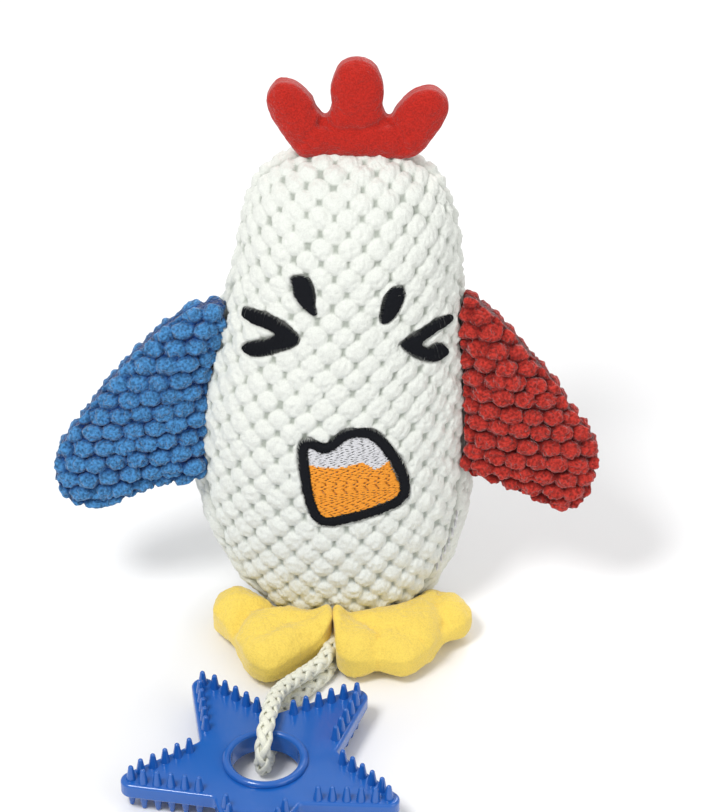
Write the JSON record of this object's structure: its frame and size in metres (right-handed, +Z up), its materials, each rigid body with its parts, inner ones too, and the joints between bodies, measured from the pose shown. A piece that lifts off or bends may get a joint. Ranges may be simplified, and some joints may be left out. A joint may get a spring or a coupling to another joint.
{
  "type": "stuffed chicken dog toy",
  "caption": "Stuffed plush chicken toy in corn-kernel fabric with comb, wings and feet, holding a spiked star chew ring on a braided rope loop.",
  "frame": {"origin": "middle of the flattened bottom that the toy sits on, at floor level", "axes": "+Z up, -Y out of the face and towards the star, +X to the viewer's right from the front"},
  "size_m": [0.2195, 0.2282, 0.2319],
  "materials": {
    "white_plush": "corn-kernel plush",
    "blue_plush": "corn-kernel plush",
    "red_plush": "corn-kernel plush",
    "red_pile": "short pile plush",
    "yellow_pile": "short pile plush",
    "stuffing": "polyester fibre",
    "black_thread": "satin stitch",
    "white_thread": "fill stitch",
    "orange_thread": "fill stitch",
    "rope": "braided cotton",
    "blue_tpr": "glossy moulded rubber",
    "squeaker_plastic": "blow-moulded",
    "squeaker_reed_plastic": "thin film strip"
  },
  "bodies": {
    "body": {"body_front_panel": "white_plush", "body_back_panel": "white_plush", "body_stuffing": "stuffing", "closing_stitches": "white_thread", "rope_anchor_knot": "rope", "brow_left": "black_thread", "brow_right": "black_thread", "eye_left": "black_thread", "eye_right": "black_thread", "beak_outline": "black_thread", "beak_white_fill": "white_thread", "beak_orange_fill": "orange_thread", "squeaker_base": "squeaker_plastic", "squeaker_bellows": "squeaker_plastic", "squeaker_reed_housing": "squeaker_plastic", "squeaker_reed": "squeaker_reed_plastic"},
    "squeaker_lid": {"squeaker_lid": "squeaker_plastic"},
    "comb": {"comb_front_panel": "red_pile", "comb_back_panel": "red_pile", "comb_stuffing": "stuffing"},
    "blue_wing": {"blue_wing_front_panel": "blue_plush", "blue_wing_back_panel": "blue_plush", "blue_wing_stuffing": "stuffing"},
    "red_wing": {"red_wing_front_panel": "red_plush", "red_wing_back_panel": "red_plush", "red_wing_stuffing": "stuffing"},
    "left_foot": {"left_foot_upper": "yellow_pile", "left_foot_sole": "yellow_pile", "left_foot_stuffing": "stuffing"},
    "right_foot": {"right_foot_upper": "yellow_pile", "right_foot_sole": "yellow_pile", "right_foot_stuffing": "stuffing"},
    "rope": {"rope_loop": "rope"},
    "star": {"star_chew": "blue_tpr"}
  },
  "joints": [
    {"name": "blue_wing_flap", "type": "hinge", "parent": "body", "child": "blue_wing", "pos_m": [-0.0526, 0.003, 0.1], "axis": [0.143, 0.2551, 0.9563], "range_deg": [-5, 35], "stiffness_Nm_per_rad": 0.05},
    {"name": "red_wing_flap", "type": "hinge", "parent": "body", "child": "red_wing", "pos_m": [0.0538, 0.003, 0.1], "axis": [0.0176, 0.2571, 0.9662], "range_deg": [-35, 0], "stiffness_Nm_per_rad": 0.05},
    {"name": "comb_flop", "type": "hinge", "parent": "body", "child": "comb", "pos_m": [0.0075, 0.0285, 0.1952], "axis": [1, 0, 0], "range_deg": [-22, 22], "stiffness_Nm_per_rad": 0.05},
    {"name": "left_foot_flap", "type": "hinge", "parent": "body", "child": "left_foot", "pos_m": [-0.0185, -0.0265, 0.011], "axis": [0.9035, -0.4285, 0], "range_deg": [-10, 5], "stiffness_Nm_per_rad": 0.05},
    {"name": "right_foot_flap", "type": "hinge", "parent": "body", "child": "right_foot", "pos_m": [0.021, -0.0285, 0.011], "axis": [0.9023, 0.4311, 0], "range_deg": [-10, 5], "stiffness_Nm_per_rad": 0.05},
    {"name": "rope_swing", "type": "hinge", "parent": "body", "child": "rope", "pos_m": [0, -0.0285, 0], "axis": [1, 0, 0], "range_deg": [0, 70]},
    {"name": "star_slide", "type": "slide", "parent": "rope", "child": "star", "axis": [0.1132, 0.9936, 0], "range_m": [-0.002, 0.0045]},
    {"name": "squeaker_squeeze", "type": "slide", "parent": "body", "child": "squeaker_lid", "axis": [0, 0, -1], "range_m": [0, 0.008], "stiffness_N_per_m": 250, "springref_m": -0.002, "deforming": ["squeaker_bellows"]}
  ]
}
